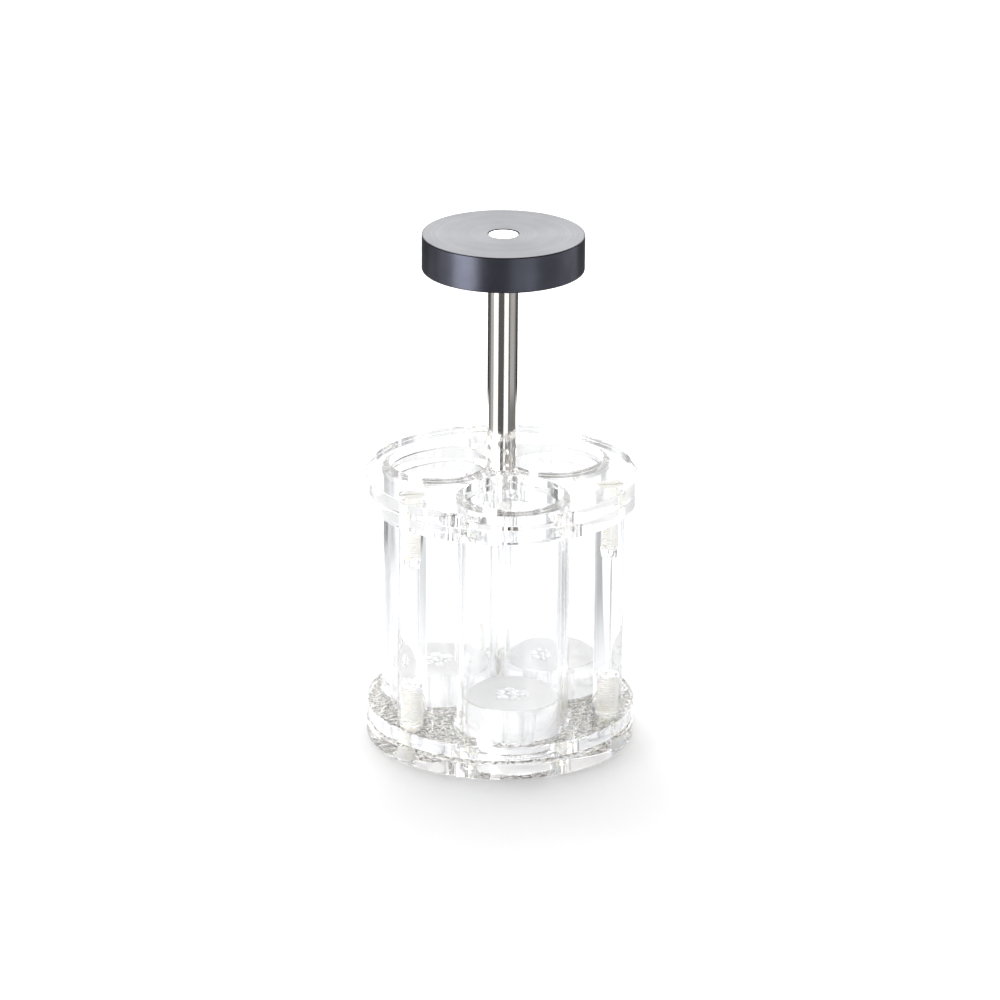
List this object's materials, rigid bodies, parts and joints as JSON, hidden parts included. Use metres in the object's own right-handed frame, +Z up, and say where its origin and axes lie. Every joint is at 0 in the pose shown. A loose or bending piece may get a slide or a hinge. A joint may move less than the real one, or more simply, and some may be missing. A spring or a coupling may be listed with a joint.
{
  "type": "tablet disintegration tester basket rack",
  "caption": "Clear basket rack of a tablet disintegration tester: upright tubes over woven gauze, clamped between round plates, with loose perforated discs and a rod with a black hanger disc.",
  "frame": {"origin": "centre of the base plate's underside, on which the rack stands", "axes": "+Z up along the rod, the front tube lies towards -Y, +X is to the right seen from the front"},
  "size_m": [0.091, 0.091, 0.1765],
  "materials": {
    "clear_acrylic": "polished clear cast acrylic",
    "steel_gauze": "woven stainless wire",
    "polished_steel": "polished stainless steel",
    "black_anodised": "turned, black anodised, satin",
    "nylon": "natural cream nylon"
  },
  "bodies": {
    "rack": {"base_plate": "clear_acrylic", "gauze": "steel_gauze", "seat_plate": "clear_acrylic", "guide_plate": "clear_acrylic", "cover_plate": "clear_acrylic", "tube_front": "clear_acrylic", "tube_rear_right": "clear_acrylic", "tube_rear_left": "clear_acrylic", "pillar_left": "clear_acrylic", "pillar_right": "clear_acrylic", "pillar_back": "clear_acrylic", "top_screw_left": "nylon", "top_screw_right": "nylon", "top_screw_back": "nylon", "foot_screw_left": "nylon", "foot_screw_right": "nylon", "foot_screw_back": "nylon", "rod": "polished_steel", "rod_screw": "polished_steel", "hanger_disc": "black_anodised"},
    "weight_front_body": {"weight_front": "clear_acrylic"},
    "weight_rear_right_body": {"weight_rear_right": "clear_acrylic"},
    "weight_rear_left_body": {"weight_rear_left": "clear_acrylic"}
  },
  "joints": [
    {"name": "weight_front_lift", "type": "slide", "parent": "rack", "child": "weight_front_body", "axis": [0, 0, 1], "range_m": [0, 0.095]},
    {"name": "weight_rear_right_lift", "type": "slide", "parent": "rack", "child": "weight_rear_right_body", "axis": [0, 0, 1], "range_m": [0, 0.095]},
    {"name": "weight_rear_left_lift", "type": "slide", "parent": "rack", "child": "weight_rear_left_body", "axis": [0, 0, 1], "range_m": [0, 0.095]}
  ]
}
